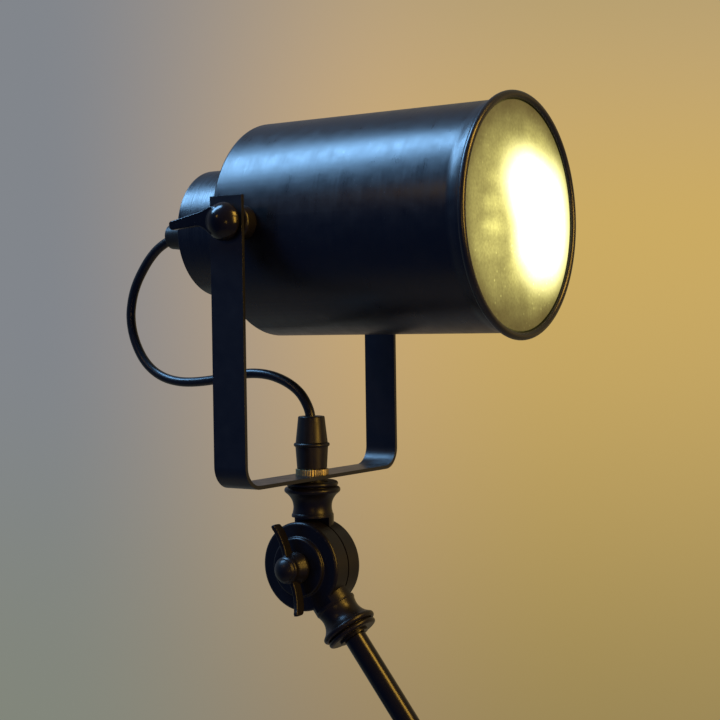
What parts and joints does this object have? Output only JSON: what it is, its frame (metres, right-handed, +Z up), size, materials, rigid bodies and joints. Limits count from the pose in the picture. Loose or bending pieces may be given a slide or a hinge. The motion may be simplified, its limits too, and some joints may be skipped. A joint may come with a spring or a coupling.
{
  "type": "swing arm wall light",
  "caption": "Swing arm wall light: round wall canopy, folding tube arms on disc swivels with wing nuts, strap yoke and tilting spotlight shade with frosted front glass.",
  "frame": {"origin": "middle of the wall bracket, on the wall plane", "axes": "+Y into the wall, -Y out into the room along the lower arm and the shade, +Z up, +X to the right seen from the room"},
  "size_m": [0.162, 0.3963, 0.5369],
  "materials": {
    "satin_black": "satin black powder coat",
    "gloss_black": "gloss black enamel",
    "zinc_plate": "zinc plated steel",
    "brass": "plain brass",
    "moulded_black": "moulded nylon, matte",
    "moulded_white": "moulded nylon, matte",
    "cord_sheath": "smooth PVC sheath",
    "seal_rubber": "silicone rubber",
    "fibre": "vulcanised fibre",
    "porcelain": "glazed porcelain",
    "frosted_glass": "acid-etched glass",
    "bulb_glass": "opal coated glass"
  },
  "bodies": {
    "wall_base": {"wall_bracket": "zinc_plate", "terminal_block": "moulded_white", "canopy": "satin_black", "canopy_studs": "zinc_plate", "canopy_cap_nuts": "satin_black", "base_nipple": "zinc_plate", "base_lock_nut": "zinc_plate", "base_joint_fixed": "satin_black", "base_washer": "fibre", "base_bolt": "satin_black"},
    "lower_arm": {"base_joint_moving": "satin_black", "lower_tube": "gloss_black", "elbow_joint_lower": "satin_black"},
    "upper_arm": {"elbow_joint_upper": "satin_black", "elbow_washer": "fibre", "elbow_bolt": "satin_black", "upper_tube": "gloss_black", "head_joint_lower": "satin_black", "head_washer": "fibre", "head_bolt": "satin_black"},
    "stem": {"head_joint_upper": "satin_black", "head_nipple": "zinc_plate"},
    "yoke_body": {"yoke": "satin_black", "yoke_ring_nut": "zinc_plate", "yoke_grip_base": "moulded_black", "yoke_grip_cap": "moulded_black", "lever_washers": "satin_black", "head_cord": "cord_sheath"},
    "shade": {"shade_grip_cap": "moulded_black", "shade_grip_base": "moulded_black", "shade_ring_nut": "zinc_plate", "shade_nipple": "zinc_plate", "holder_nut": "zinc_plate", "rear_cap": "satin_black", "cap_screws": "zinc_plate", "shade_shell": "satin_black", "glass_seal": "seal_rubber", "glass": "frosted_glass", "lamp_holder": "porcelain", "holder_shell": "brass", "bulb_cap": "zinc_plate", "bulb_glass": "bulb_glass", "pivot_spacers": "satin_black", "pivot_nuts": "zinc_plate", "pivot_studs": "zinc_plate"},
    "base_wing": {"base_wing_nut": "satin_black"},
    "elbow_wing": {"elbow_wing_nut": "satin_black"},
    "head_wing": {"head_wing_nut": "satin_black"},
    "left_clamp": {"left_lever": "satin_black"},
    "right_clamp": {"right_lever": "satin_black"}
  },
  "joints": [
    {"name": "base_swing", "type": "hinge", "parent": "wall_base", "child": "lower_arm", "pos_m": [0, -0.0723, 0.0016], "axis": [0, 0, 1], "range_deg": [-80, 80]},
    {"name": "elbow_bend", "type": "hinge", "parent": "lower_arm", "child": "upper_arm", "pos_m": [-0.0016, -0.3723, 0.0032], "axis": [1, 0, 0], "range_deg": [-2, 200]},
    {"name": "head_bend", "type": "hinge", "parent": "upper_arm", "child": "stem", "pos_m": [-0.0016, -0.1876, 0.2396], "axis": [-1, 0, 0], "range_deg": [-75, 120]},
    {"name": "yoke_turn", "type": "hinge", "parent": "stem", "child": "yoke_body", "pos_m": [0, -0.1876, 0.2396], "axis": [0, 0, 1], "range_deg": [-170, 170]},
    {"name": "shade_tilt", "type": "hinge", "parent": "yoke_body", "child": "shade", "pos_m": [0, -0.1876, 0.4207], "axis": [-1, 0, 0], "range_deg": [-45, 60], "deforming": ["head_cord"]},
    {"name": "base_wing_turn", "type": "hinge", "parent": "wall_base", "child": "base_wing", "pos_m": [0, -0.0723, 0.0016], "axis": [0, 0, -1], "range_deg": [0, 180]},
    {"name": "elbow_wing_turn", "type": "hinge", "parent": "upper_arm", "child": "elbow_wing", "pos_m": [-0.0016, -0.3723, 0.0032], "axis": [-1, 0, 0], "range_deg": [0, 180]},
    {"name": "head_wing_turn", "type": "hinge", "parent": "upper_arm", "child": "head_wing", "pos_m": [-0.0016, -0.1876, 0.2396], "axis": [-1, 0, 0], "range_deg": [0, 180]},
    {"name": "left_lever_turn", "type": "hinge", "parent": "shade", "child": "left_clamp", "pos_m": [0, -0.1876, 0.4207], "axis": [-1, 0, 0], "range_deg": [0, 180]},
    {"name": "right_lever_turn", "type": "hinge", "parent": "shade", "child": "right_clamp", "pos_m": [0, -0.1876, 0.4207], "axis": [1, 0, 0], "range_deg": [0, 180]}
  ]
}
